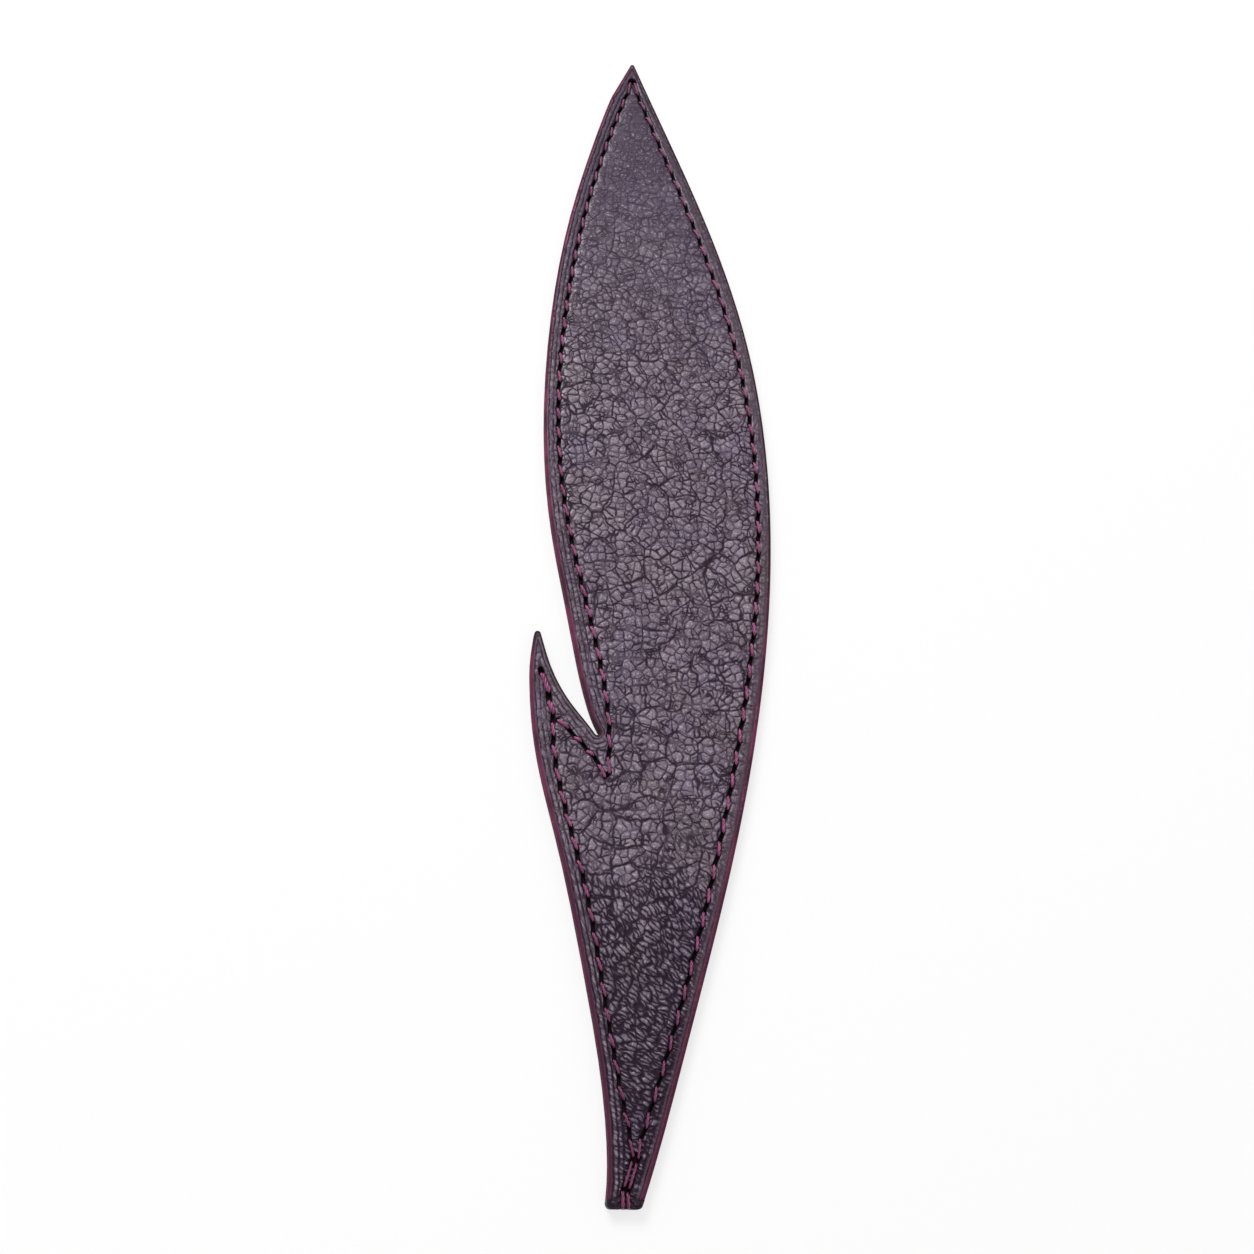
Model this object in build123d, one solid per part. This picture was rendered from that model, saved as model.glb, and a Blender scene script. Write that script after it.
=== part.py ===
from build123d import *
from math import atan2, cos, degrees, pi, radians, sin
import os

os.makedirs("parts", exist_ok=True)

# A feather-shaped bookmark: two leathers glued face to face, saddle-stitched all round, with a painted edge.
# It is drawn with the middle of the quill's cut end at the origin and the tip along +Y, then centred.

# Layers, from the back up
back_thickness = 1.0
glue_thickness = 0.1
front_thickness = 1.0

# Edge: a coat of paint, rounded at both faces with a flat lip inside, that stops short of the quill's end
shoulder_radius = 0.25
paint_lip = 0.05
paint_stop = 1.2

# Thread and its holes. Each hole is a short slanted slot with one leg of the thread at each end.
thread_diameter = 0.55
thread_clearance = 0.03
stitch_pitch = 3.6
notch_pitch = 3.0
leg_along = 0.32
leg_across = 0.36
front_pocket = 0.25
short_tail = 1.0
long_tail = 1.9

# Places of the holes that rows share, and points of the seams between them
tip_hole = Vector(-0.4, 193.0)
merge_hole = Vector(1.5, 6.2)
quill_hole = Vector(0.3, 2.4)
notch_hole = Vector(-3.1, 60.2)
notch_start = Vector(-10.7, 68.3)
barb_holes = [Vector(-13.3, 75.5), Vector(-12.2, 72.0)]
branch_hole = Vector(-11.5, 68.6)
right_seam = [(9.8, 165.0), (17.3, 140.0), (21.0, 100.0), (16.8, 65.0), (8.8, 30.0)]
left_seam = [(-8.0, 165.0), (-11.5, 140.0), (-10.6, 105.0), (-4.9, 80.0), (-2.9, 67.0)]
notch_seam = [(-6.6, 64.4)]
barb_seam = [(-11.2, 64.0), (-6.5, 45.0), (-2.5, 25.0)]

# The two strands over the quill's cut end: the gap between them, and how far they run in along the back
wrap_gap = 0.25
wrap_reach = 0.85

# Rounded corners of the outline, in order round it: middle and radius of the rounding, then the headings
# of the edges that arrive and leave, in degrees clockwise from the line to the tip
quill_left_corner = (Vector(-1.6, 0.7), 0.7, 270, 7)
barb_corner = (Vector(-14.2, 82.1), 0.5, 7, 162)
notch_root = (Vector(-4.7, 66.75), 0.4, 144, 329)
tip_corner = (Vector(-0.4, 196.9), 0.4, 23, 159)
quill_right_corner = (Vector(1.95, 0.7), 0.7, 199, 270)

# Points between those corners that set the curve of each edge
barb_edge = [(-2.3, 10.0), (-5.6, 30.0), (-10.25, 50.0), (-14.2, 66.0), (-15.1, 75.5)]
notch_edge = [(-12.4, 78.0), (-9.0, 71.5)]
left_edge = [
    (-6.4, 72.0), (-9.35, 85.0), (-12.4, 100.0), (-14.3, 120.0), (-13.4, 145.0), (-9.3, 170.0), (-4.4, 188.5)
]
right_edge = [
    (3.9, 187.0), (11.3, 168.0), (19.7, 140.0), (23.1, 110.0), (21.6, 80.0), (16.3, 50.0), (8.4, 20.0)
]

# Points along each edge where an inset outline is measured
inset_stations = 48

# Heights and widths that follow from those
front_bottom = back_thickness + glue_thickness
total_thickness = front_bottom + front_thickness
paint_thickness = shoulder_radius + paint_lip
thread_radius = thread_diameter / 2
slot_width = thread_diameter + 2 * thread_clearance
bend_radius = thread_radius + 2 * thread_clearance
front_strand = total_thickness - front_pocket + thread_clearance + thread_radius
back_strand = thread_clearance + thread_radius
back_pocket = thread_diameter + 2 * thread_clearance
groove_half_width = leg_across + thread_radius + 2 * thread_clearance
leg_gap = 2 * bend_radius + thread_clearance
half_gap = leg_gap / 2
wrap_spread = thread_diameter + wrap_gap


def heading(angle):
    return Vector(sin(radians(angle)), cos(radians(angle)))


def right_of(direction):
    return Vector(direction.Y, -direction.X)


def turns_right(corner):
    return (corner[3] - corner[2]) % 360 < 180


def corner_ends(corner, inset):
    # The rounding touches its two edges a quarter turn from their headings, on the side away from its middle.
    middle, radius, arrive, leave = corner
    side = -90 if turns_right(corner) else 90
    reach = radius - inset if turns_right(corner) else radius + inset
    return middle + heading(arrive + side) * reach, middle + heading(leave + side) * reach


def corner_arc(corner, inset):
    start, end = corner_ends(corner, inset)
    return TangentArc(start, end, tangent=heading(corner[2]))


def inset_point(edge, station, inset):
    place = edge.position_at(station, position_mode=PositionMode.LENGTH)
    way = edge.tangent_at(station, position_mode=PositionMode.LENGTH)
    return place + right_of(way) * inset


def edge_between(first, points, second, inset):
    # A smooth edge from one corner to the next, moved inwards by the inset
    headings = [heading(first[3]), heading(second[2])]
    edge = Spline(corner_ends(first, 0)[1], *points, corner_ends(second, 0)[0], tangents=headings)
    if inset == 0:
        return edge
    stations = [edge.length * i / inset_stations for i in range(1, inset_stations)]
    inner = [inset_point(edge, station, inset) for station in stations]
    return Spline(corner_ends(first, inset)[1], *inner, corner_ends(second, inset)[0], tangents=headings)


def feather_face(inset=0):
    edges = [
        corner_arc(quill_left_corner, inset),
        edge_between(quill_left_corner, barb_edge, barb_corner, inset),
        corner_arc(barb_corner, inset),
        edge_between(barb_corner, notch_edge, notch_root, inset),
        corner_arc(notch_root, inset),
        edge_between(notch_root, left_edge, tip_corner, inset),
        corner_arc(tip_corner, inset),
        edge_between(tip_corner, right_edge, quill_right_corner, inset),
        corner_arc(quill_right_corner, inset),
        Line(corner_ends(quill_right_corner, inset)[1], corner_ends(quill_left_corner, inset)[0]),
    ]
    return make_face(edges)


def slot(start, end, width, bottom, height):
    # An upright prism with rounded ends, along the line from start to end
    along = end - start
    place = Pos((start + end) / 2) * Rot(0, 0, degrees(atan2(along.Y, along.X)))
    return Pos(0, 0, bottom) * extrude(place * SlotCenterToCenter(along.length, width), height)


def through_slot(start, end, width):
    return slot(start, end, width, 0, total_thickness)


def round_hole(middle, width, height):
    return Pos(middle) * extrude(Circle(width / 2), height)


def holes_between(start, points, end, pitch):
    seam = Spline(start, *points, end)
    count = round(seam.length / pitch)
    spacing = seam.length / count
    return [seam.position_at(i * spacing, position_mode=PositionMode.LENGTH) for i in range(count + 1)]


def at_height(point, on_front):
    return Vector(point.X, point.Y, front_strand if on_front else back_strand)


def thread_along(name, points):
    path = FilletPolyline(*points, radius=bend_radius)
    section = Plane(origin=path @ 0, z_dir=path % 0) * Circle(thread_radius)
    tube = sweep(section, path=path)
    ideal = pi * thread_radius**2 * path.length
    share = round(tube.volume / ideal, 4)
    print(name, "length", round(path.length, 1), "volume over section times length", share)
    return tube


class Row:
    # One saddle-stitched row. The middle of its thread stands in the first hole, and the two halves swap
    # faces at every hole after it, so that a stitch lies on both faces all along. Its ends are trimmed at
    # the back.
    def __init__(self, holes, first_leg, last_leg, tail):
        self.holes = holes
        self.first_leg = first_leg
        self.last_leg = last_leg
        self.tail = tail
        self.last = len(holes) - 1

    def along(self, i):
        before = self.holes[max(i - 1, 0)]
        after = self.holes[min(i + 1, self.last)]
        return (after - before).normalized()

    def across(self, i):
        return right_of(self.along(i))

    def down_leg(self, i):
        if i == self.last:
            return self.last_leg
        return self.holes[i] - self.along(i) * leg_along - self.across(i) * leg_across

    def up_leg(self, i):
        if i == self.last:
            return self.holes[i] - self.along(i) * self.tail + self.across(i) * leg_across
        return self.holes[i] + self.along(i) * leg_along + self.across(i) * leg_across

    def strand(self, on_front):
        # Points of one half of the thread, from the first hole to the last
        points = [at_height(self.first_leg, on_front)]
        for i in range(1, self.last + 1):
            leg = self.down_leg(i) if on_front else self.up_leg(i)
            points.append(at_height(leg, on_front))
            if i < self.last or on_front:
                on_front = not on_front
                points.append(at_height(leg, on_front))
        return points

    def thread_points(self):
        return self.strand(False)[::-1] + self.strand(True)

    def slots(self):
        return [through_slot(self.down_leg(i), self.up_leg(i), slot_width) for i in range(1, self.last)]

    def front_pockets(self):
        starts = [self.first_leg] + [self.up_leg(i) for i in range(1, self.last)]
        ends = [self.down_leg(i) for i in range(1, self.last + 1)]
        return [front_slot(start, end) for start, end in zip(starts, ends)]

    def back_groove(self):
        # A groove with rounded ends that holds every strand at the back
        middles = [self.first_leg] + self.holes[1:-1] + [self.last_leg]
        sides = [self.across(i) * groove_half_width for i in range(self.last + 1)]
        lefts = [middle - side for middle, side in zip(middles, sides)]
        rights = [middle + side for middle, side in zip(middles, sides)]
        first_end = self.first_leg - self.along(0) * groove_half_width
        last_end = self.last_leg + self.along(self.last) * groove_half_width
        edges = [
            Spline(*lefts),
            ThreePointArc(lefts[-1], last_end, rights[-1]),
            Spline(*rights),
            ThreePointArc(rights[0], first_end, lefts[0]),
        ]
        return extrude(make_face(edges), back_pocket)


def front_slot(start, end):
    return slot(start, end, slot_width, total_thickness - front_pocket, front_pocket)


def back_slot(start, end):
    return slot(start, end, slot_width, 0, back_pocket)


def pair_of_legs(hole, along, shift):
    middle = hole + along * shift
    return [middle + right_of(along) * half_gap, middle - right_of(along) * half_gap]


# The stitch from the merge hole to the quill hole is doubled, and two strands from the quill hole wrap the
# cut end. Each of the two holes has four legs in it, two above and two below.
quill_way = (quill_hole - merge_hole).normalized()
merge_above = pair_of_legs(merge_hole, quill_way, -half_gap)
merge_below = pair_of_legs(merge_hole, quill_way, half_gap)
quill_above = pair_of_legs(quill_hole, quill_way, -half_gap)
quill_below = pair_of_legs(quill_hole, quill_way, half_gap)
wrap_sides = [quill_hole.X - wrap_spread / 2, quill_hole.X + wrap_spread / 2]
wrap_ends = [Vector(x, thread_radius + thread_clearance) for x in wrap_sides]
wrap_turns = [end + Vector(0, wrap_reach) for end in wrap_ends]
past_end = Vector(0, -2 * thread_diameter)

# The rows, with the places of their first and last legs in the holes that they share
tip_legs = [tip_hole + Vector(half_gap, 0), tip_hole - Vector(half_gap, 0)]
notch_legs = [notch_hole + Vector(half_gap, half_gap), notch_hole - Vector(half_gap, half_gap)]
right_holes = holes_between(tip_hole, right_seam, merge_hole, stitch_pitch)
left_holes = holes_between(tip_hole, left_seam, notch_hole, stitch_pitch)
notch_holes = holes_between(notch_start, notch_seam, notch_hole, notch_pitch)
barb_edge_holes = barb_holes + holes_between(branch_hole, barb_seam, merge_hole, stitch_pitch)
rows = {
    "thread_right_edge": Row(right_holes, tip_legs[0], merge_above[1], long_tail),
    "thread_left_edge": Row(left_holes, tip_legs[1], notch_legs[0], short_tail),
    "thread_notch": Row(notch_holes, notch_start, notch_legs[1], short_tail),
    "thread_barb_edge": Row(barb_edge_holes, barb_holes[0], merge_above[0], short_tail),
}
shared_holes = [
    through_slot(*tip_legs, slot_width),
    through_slot(*notch_legs, slot_width),
    round_hole(notch_start, slot_width, total_thickness),
    round_hole(barb_holes[0], slot_width, total_thickness),
    through_slot(merge_hole - quill_way * half_gap, merge_hole + quill_way * half_gap, leg_gap + slot_width),
    through_slot(quill_hole - quill_way * half_gap, quill_hole + quill_way * half_gap, leg_gap + slot_width),
]
end_notches = [through_slot(end, end + past_end, slot_width) for end in wrap_ends]
slots = shared_holes + end_notches
front_pockets = [front_slot(*legs) for legs in zip(merge_below, quill_above)]
front_pockets += [front_slot(leg, end) for leg, end in zip(quill_below, wrap_ends)]
back_grooves = [back_slot(end, turn) for end, turn in zip(wrap_ends, wrap_turns)] + [back_slot(*wrap_turns)]
for row in rows.values():
    slots += row.slots()
    front_pockets += row.front_pockets()
    back_grooves.append(row.back_groove())

# The threads
parts = {name: thread_along(name, row.thread_points()) for name, row in rows.items()}
quill_stitch_points = [
    at_height(merge_below[0], False),
    at_height(merge_below[0], True),
    at_height(quill_above[0], True),
    at_height(quill_above[0], False),
    at_height(quill_above[1], False),
    at_height(quill_above[1], True),
    at_height(merge_below[1], True),
    at_height(merge_below[1], False),
]
end_wrap_points = [
    at_height(quill_below[0], False),
    at_height(quill_below[0], True),
    at_height(wrap_ends[0], True),
    at_height(wrap_ends[0], False),
    at_height(wrap_turns[0], False),
    at_height(wrap_turns[1], False),
    at_height(wrap_ends[1], False),
    at_height(wrap_ends[1], True),
    at_height(quill_below[1], True),
    at_height(quill_below[1], False),
]
parts["thread_quill_stitch"] = thread_along("thread_quill_stitch", quill_stitch_points)
parts["thread_end_wrap"] = thread_along("thread_end_wrap", end_wrap_points)

# The body of the bookmark, its edge coat, and the three layers inside that
outline = feather_face()
slab = extrude(outline, total_thickness)
rims = slab.faces().sort_by(Axis.Z)[0].edges() + slab.faces().sort_by(Axis.Z)[-1].edges()
body = fillet(rims, shoulder_radius)
core = extrude(feather_face(paint_thickness), total_thickness)
bounds = outline.bounding_box()
past_stop = Pos(bounds.center().X, paint_stop, 0) * Box(
    2 * bounds.size.X, 2 * bounds.size.Y, 2 * total_thickness, align=(Align.CENTER, Align.MIN, Align.CENTER)
)
parts["edge_paint"] = (body - core) & past_stop
leather = body - parts["edge_paint"]


def layer(bottom, thickness):
    upwards = (Align.CENTER, Align.CENTER, Align.MIN)
    sheet = Box(2 * bounds.size.X, 2 * bounds.size.Y, thickness, align=upwards)
    return leather & (Pos(bounds.center().X, bounds.center().Y, bottom) * sheet)


parts["front_panel"] = layer(front_bottom, front_thickness) - slots - front_pockets
parts["glue_film"] = layer(back_thickness, glue_thickness) - slots
parts["back_panel"] = layer(0, back_thickness) - slots - back_grooves

centred = Pos(-bounds.center().X, -bounds.center().Y, 0)
for name, part in parts.items():
    export_step(centred * part, f"parts/{name}.step")
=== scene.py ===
import bmesh
import bpy
import math
import numpy as np
from mathutils import Matrix, Vector
from mathutils.geometry import delaunay_2d_cdt
from mathutils.kdtree import KDTree


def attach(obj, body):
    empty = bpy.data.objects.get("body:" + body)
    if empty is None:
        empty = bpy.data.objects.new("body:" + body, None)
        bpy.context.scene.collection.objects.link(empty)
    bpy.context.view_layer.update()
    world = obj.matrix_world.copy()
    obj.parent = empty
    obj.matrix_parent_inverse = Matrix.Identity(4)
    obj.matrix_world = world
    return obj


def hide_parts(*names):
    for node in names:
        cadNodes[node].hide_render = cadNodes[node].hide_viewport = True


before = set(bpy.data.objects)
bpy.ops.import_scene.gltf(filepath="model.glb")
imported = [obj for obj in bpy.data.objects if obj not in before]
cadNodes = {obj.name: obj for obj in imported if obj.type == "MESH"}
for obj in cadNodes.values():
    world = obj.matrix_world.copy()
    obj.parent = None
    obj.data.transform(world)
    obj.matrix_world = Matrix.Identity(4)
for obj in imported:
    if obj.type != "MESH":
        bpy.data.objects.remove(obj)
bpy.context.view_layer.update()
scene = bpy.context.scene
mm = 0.001
tiny = 1e-6  # what counts as no distance
white = (1, 1, 1, 1)
print("frame loaded,", len(cadNodes), "nodes")


# A socket of a node tree; arithmetic on wires adds Math nodes.
# The dictionaries below keep a ramp as (low, high) or as (low, high, atLow, atHigh).
class Wire:
    def __init__(self, tree, socket=None):
        self.tree = tree
        self.socket = socket

    def make(self, kind, settings=None, sockets=None, output=0):
        node = self.tree.nodes.new(kind)
        for name, value in (settings or {}).items():
            setattr(node, name, value)
        for name, value in (sockets or {}).items():
            for one in value if isinstance(value, list) else [value]:
                if isinstance(one, Wire):
                    self.tree.links.new(one.socket, node.inputs[name])
                else:
                    node.inputs[name].default_value = one
        return Wire(self.tree, node.outputs[output]) if node.outputs else node

    def maths(self, operation, first, second=0.0):
        return self.make("ShaderNodeMath", {"operation": operation}, {0: first, 1: second})

    def __add__(self, other):
        return self.maths("ADD", self, other)

    def __sub__(self, other):
        return self.maths("SUBTRACT", self, other)

    def __rsub__(self, other):
        return self.maths("SUBTRACT", other, self)

    def __mul__(self, other):
        return self.maths("MULTIPLY", self, other)

    def __truediv__(self, other):
        return self.maths("DIVIDE", self, other)

    __radd__ = __add__
    __rmul__ = __mul__

    def least(self, other):
        return self.maths("MINIMUM", self, other)

    def most(self, other):
        return self.maths("MAXIMUM", self, other)

    def absolute(self):
        return self.maths("ABSOLUTE", self)

    def cosine(self):
        return self.maths("COSINE", self)

    def sine(self):
        return self.maths("SINE", self)

    def ramp(self, low, high, atLow=0.0, atHigh=1.0):
        sockets = {0: self, 1: low, 2: high, 3: atLow, 4: atHigh}
        return self.make("ShaderNodeMapRange", {"interpolation_type": "SMOOTHSTEP"}, sockets)

    def fall(self, low, high):  # 1 up to low, 0 from high on
        return self.ramp(low, high, 1.0, 0.0)

    def blend(self, first, second):  # this wire is the share of the second colour
        sockets = {0: self, 6: first, 7: second}
        return self.make("ShaderNodeMix", {"data_type": "RGBA"}, sockets, 2)

    def vector(self, operation, *values, **others):
        sockets = {**dict(enumerate(values)), **others}
        return self.make("ShaderNodeVectorMath", {"operation": operation}, sockets)

    def joined(self, **numbers):  # a vector from its X, Y and Z
        return self.make("ShaderNodeCombineXYZ", None, numbers)

    def parts(self):  # the three numbers of a vector
        apart = self.make("ShaderNodeSeparateXYZ", None, {"Vector": self})
        return [Wire(self.tree, socket) for socket in apart.socket.node.outputs]

    def noise(self, size, detail=2.0, output="Fac"):  # size of the blobs, in the wire's own units
        sockets = {"Vector": self, "Scale": 1 / size, "Detail": detail}
        return self.make("ShaderNodeTexNoise", {"noise_dimensions": "3D"}, sockets, output)

    def mottle(self, size, low, high, atLow=0.0, atHigh=1.0, detail=1.0):  # a noise and its ramp
        return self.noise(size, detail).ramp(low, high, atLow, atHigh)

    def pushed(self, size, reach):  # the vector moved about by a noise
        return self.vector("MULTIPLY_ADD", self.noise(size, 2.0, "Color"), (reach, reach, 0), self)

    def cells(self, size):  # distance from the line between cells, 0 on the line
        settings = {"voronoi_dimensions": "2D", "feature": "DISTANCE_TO_EDGE"}
        sockets = {"Vector": self, "Scale": 1 / size}
        return self.make("ShaderNodeTexVoronoi", settings, sockets, "Distance") * size

    def cellTone(self, size):  # a number from 0 to 1, the same all over a cell
        settings = {"voronoi_dimensions": "2D", "feature": "F1"}
        sockets = {"Vector": self, "Scale": 1 / size}
        return self.make("ShaderNodeTexVoronoi", settings, sockets, "Color").parts()[0]

    def bump(self, depth):  # this wire is the height, depth is its unit
        sockets = {"Height": self, "Distance": depth, "Strength": 1.0}
        return self.make("ShaderNodeBump", None, sockets)


def geometryTree(name, inputs):
    tree = bpy.data.node_groups.new(name, "GeometryNodeTree")
    tree.interface.new_socket("Geometry", in_out="INPUT", socket_type="NodeSocketGeometry")
    for label, kind in inputs.items():
        tree.interface.new_socket(label, in_out="INPUT", socket_type="NodeSocket" + kind)
    tree.interface.new_socket("Geometry", in_out="OUTPUT", socket_type="NodeSocketGeometry")
    source = tree.nodes.new("NodeGroupInput")
    return tree, {socket.name: Wire(tree, socket) for socket in source.outputs if socket.name}


def endTree(whole, finish):
    whole = whole.make("GeometryNodeSetShadeSmooth", None, {"Geometry": whole})
    whole = whole.make("GeometryNodeRealizeInstances", None, {"Geometry": whole})
    whole = whole.make("GeometryNodeSetMaterial", None, {"Geometry": whole, "Material": finish})
    whole.make("NodeGroupOutput", None, {"Geometry": whole})


def runTree(piece, tree, values):  # leaves the tree's result on the piece as a plain mesh
    modifier = piece.modifiers.new(tree.name, "NODES")
    modifier.node_group = tree
    for item in tree.interface.items_tree:
        if item.in_out == "INPUT" and item.name in values:
            modifier[item.identifier] = values[item.name]
    graph = bpy.context.evaluated_depsgraph_get()
    graph.update()
    result = piece.evaluated_get(graph)
    mesh = bpy.data.meshes.new_from_object(result, preserve_all_data_layers=True, depsgraph=graph)
    piece.modifiers.clear()
    piece.data = mesh
    mesh.name = piece.name


def keptValue(start, name):  # in a geometry tree, a value kept on each point
    return start.make("GeometryNodeInputNamedAttribute", {"data_type": "FLOAT"}, {"Name": name})


def keepValue(geometry, name, value):
    settings = {"data_type": "FLOAT", "domain": "POINT"}
    sockets = {"Geometry": geometry, "Name": name, "Value": value}
    return geometry.make("GeometryNodeStoreNamedAttribute", settings, sockets)


def keepOnMesh(mesh, name, values):
    kept = mesh.attributes.new(name, "FLOAT", "POINT")
    kept.data.foreach_set("value", values.astype(np.float32))


def newPiece(name, mesh):
    piece = bpy.data.objects.new(name, mesh)
    scene.collection.objects.link(piece)
    return piece


def newMaterial(name):
    material = bpy.data.materials.new(name)
    material.use_nodes = True
    material.node_tree.nodes.clear()
    return material, Wire(material.node_tree)


def finishMaterial(start, surface, bump, plain):  # plain values are the same all over the surface
    shader = start.make("ShaderNodeBsdfPrincipled", None, {**surface, **plain, "Normal": bump})
    start.make("ShaderNodeOutputMaterial", None, {"Surface": shader})


def inMillimetres(place):
    return place.vector("SCALE", place, Scale=1 / mm)


def objectPlace(start):
    return inMillimetres(start.make("ShaderNodeTexCoord", None, None, "Object"))


def attribute(start, name):  # in a material, a value kept on each point
    return start.make("ShaderNodeAttribute", {"attribute_name": name}, None, "Fac")


# The sewing, in millimetres from the middle of the quill's cut end with the tip along +Y, as in the part
sewing = {
    "centre": (4.0165, 98.65),  # the middle of the outline, where the frame has its origin
    "tipHole": (-0.4, 193.0),
    "mergeHole": (1.5, 6.2),
    "quillHole": (0.3, 2.4),
    "notchHole": (-3.1, 60.2),
    "notchStart": (-10.7, 68.3),
    "barbHoles": [(-13.3, 75.5), (-12.2, 72.0)],
    "branchHole": (-11.5, 68.6),
    "rightSeam": [(9.8, 165.0), (17.3, 140.0), (21.0, 100.0), (16.8, 65.0), (8.8, 30.0)],
    "leftSeam": [(-8.0, 165.0), (-11.5, 140.0), (-10.6, 105.0), (-4.9, 80.0), (-2.9, 67.0)],
    "notchSeam": [(-6.6, 64.4)],
    "barbSeam": [(-11.2, 64.0), (-6.5, 45.0), (-2.5, 25.0)],
    "pitch": 3.6,
    "notchPitch": 3.0,
    "legAlong": 0.32,  # how far a leg stands from the middle of its hole, on the back
    "legAcross": 0.36,
    "frontAlong": 0.96,  # and on the front, where the slots are longer
    "frontAcross": 0.14,
    "slotWidth": 0.62,
    "taperAlong": (-95.0, -45.0, -20.0, 40.0, 92.0),  # the thread is pulled thinner towards both ends
    "taperGirth": (0.75, 0.93, 0.95, 0.86, 0.72),
    "doubleReach": 6.3,  # the barb's first stitches look doubled, so their thread is thicker
    "doubleGirth": 1.5,
    "doubleSlotWidth": 0.82,
    "tipSlotWidth": 1.1,
    "tipSlotShift": 0.3,
    "barbSlotReach": 0.8,
    "slotReach": 0.5,  # a hole of the part nearer than this to a slot is the same hole
    "legGap": 0.7,
    "wrapSpread": 0.8,
    "wrapReach": 0.85,
    "wrapOut": 0.1,  # brings the end wrap flush with the cut end
    "wrapGirth": 1.0,  # as thick as the notches it lies in
    "shortTail": 1.0,
    "longTail": 1.9,
    "frontHeight": 2.155,
    "backHeight": 0.305,
    "threadRadius": 0.275,
    "clearance": 0.03,
}
centre = np.array(sewing["centre"])


def onFrame(point):
    return np.array(point, float) - centre


def smoothLine(points, count=2000):  # a natural cubic spline through the points
    points = np.array(points, float)
    spans = np.linalg.norm(np.diff(points, axis=0), axis=1)
    at = np.concatenate([[0], np.cumsum(spans)])
    size = len(points)
    left = np.zeros((size, size))
    right = np.zeros((size, 2))
    left[0, :2] = 2, 1
    left[-1, -2:] = 1, 2
    right[0] = 3 * (points[1] - points[0]) / spans[0]
    right[-1] = 3 * (points[-1] - points[-2]) / spans[-1]
    for i in range(1, size - 1):
        left[i, i - 1 : i + 2] = spans[i], 2 * (spans[i - 1] + spans[i]), spans[i - 1]
        right[i] = 3 * spans[i] * (points[i] - points[i - 1]) / spans[i - 1]
        right[i] += 3 * spans[i - 1] * (points[i + 1] - points[i]) / spans[i]
    slopes = np.linalg.solve(left, right)
    along = np.linspace(0, at[-1], count)
    i = np.clip(np.searchsorted(at, along, side="right") - 1, 0, size - 2)
    span = spans[i][:, None]
    t = (along - at[i])[:, None] / span
    ends = (1 - t) ** 2 * (1 + 2 * t) * points[i] + t**2 * (3 - 2 * t) * points[i + 1]
    return ends + t * (1 - t) * span * ((1 - t) * slopes[i] - t * slopes[i + 1])


def evenPoints(line, count):  # points spaced evenly along a line, its ends among them
    length = np.concatenate([[0], np.cumsum(np.linalg.norm(np.diff(line, axis=0), axis=1))])
    wanted = np.linspace(0, length[-1], count)
    return np.stack([np.interp(wanted, length, line[:, k]) for k in range(line.shape[1])], axis=1)


def lineLength(line):
    return np.linalg.norm(np.diff(line, axis=0), axis=1).sum()


def closed(loop):
    return np.concatenate([loop, loop[:1]])


def wayTo(start, end):
    return (end - start) / np.linalg.norm(end - start)


def rightOf(way):
    return np.stack([way[..., 1], -way[..., 0]], axis=-1)


def seamHoles(start, seam, end, pitch):  # all four are names in the sewing
    points = [sewing[start], *sewing[seam], sewing[end]]
    line = smoothLine([onFrame(p) for p in points])
    return evenPoints(line, round(lineLength(line) / sewing[pitch]) + 1)


class StitchRow:  # one saddle-stitched row: the two halves of its thread swap faces at each hole
    def __init__(self, holes, firstLeg, lastLeg, tail):
        way = np.concatenate([holes[1:], holes[-1:]]) - np.concatenate([holes[:1], holes[:-1]])
        way /= np.linalg.norm(way, axis=1)[:, None]
        side = rightOf(way)
        self.holes = holes
        self.legs = {}
        for onFront, along, across in (
            (True, sewing["frontAlong"], sewing["frontAcross"]),
            (False, sewing["legAlong"], sewing["legAcross"]),
        ):
            slant = way * along + side * across
            down = holes - slant
            up = holes + slant
            down[0] = up[0] = firstLeg
            down[-1] = lastLeg
            up[-1] = holes[-1] - way[-1] * tail + side[-1] * sewing["legAcross"]
            self.legs[onFront] = {True: down, False: up}

    def half(self, onFront):
        points = [atHeight(self.legs[onFront][onFront][0], onFront)]
        last = len(self.holes) - 1
        for i in range(1, last + 1):
            arriving = onFront
            points.append(atHeight(self.legs[onFront][arriving][i], onFront))
            if i < last or onFront:
                onFront = not onFront
                points.append(atHeight(self.legs[onFront][arriving][i], onFront))
        return points

    def route(self):
        return self.half(False)[::-1] + self.half(True)

    def stitches(self, onFront):
        return list(zip(self.legs[onFront][not onFront][:-1], self.legs[onFront][onFront][1:]))

    def slots(self):  # where the front leather is cut for the legs
        down, up = self.legs[True].values()
        tapered = sewing["slotWidth"] * taper(self.holes)
        widths = np.where(isDoubled(self.holes), sewing["doubleSlotWidth"], tapered)
        return [slotLoop(*each) for each in zip(down[1:-1], up[1:-1], widths[1:-1])]


def taper(points):
    return np.interp([p[1] for p in points], sewing["taperAlong"], sewing["taperGirth"])


def isDoubled(points):
    return np.linalg.norm(np.array(points)[:, :2] - barbStart, axis=1) < sewing["doubleReach"]


def slotLoop(start, end, width, steps=7):
    way = wayTo(start, end)
    side = rightOf(way)
    turns = np.linspace(-math.pi / 2, math.pi / 2, steps)[:, None]
    radius = width / 2
    far = end + radius * (np.cos(turns) * way - np.sin(turns) * side)
    near = start - radius * (np.cos(turns) * way - np.sin(turns) * side)
    return np.concatenate([far, near])


def atHeight(point, onFront):
    return (point[0], point[1], sewing["frontHeight"] if onFront else sewing["backHeight"])


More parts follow.
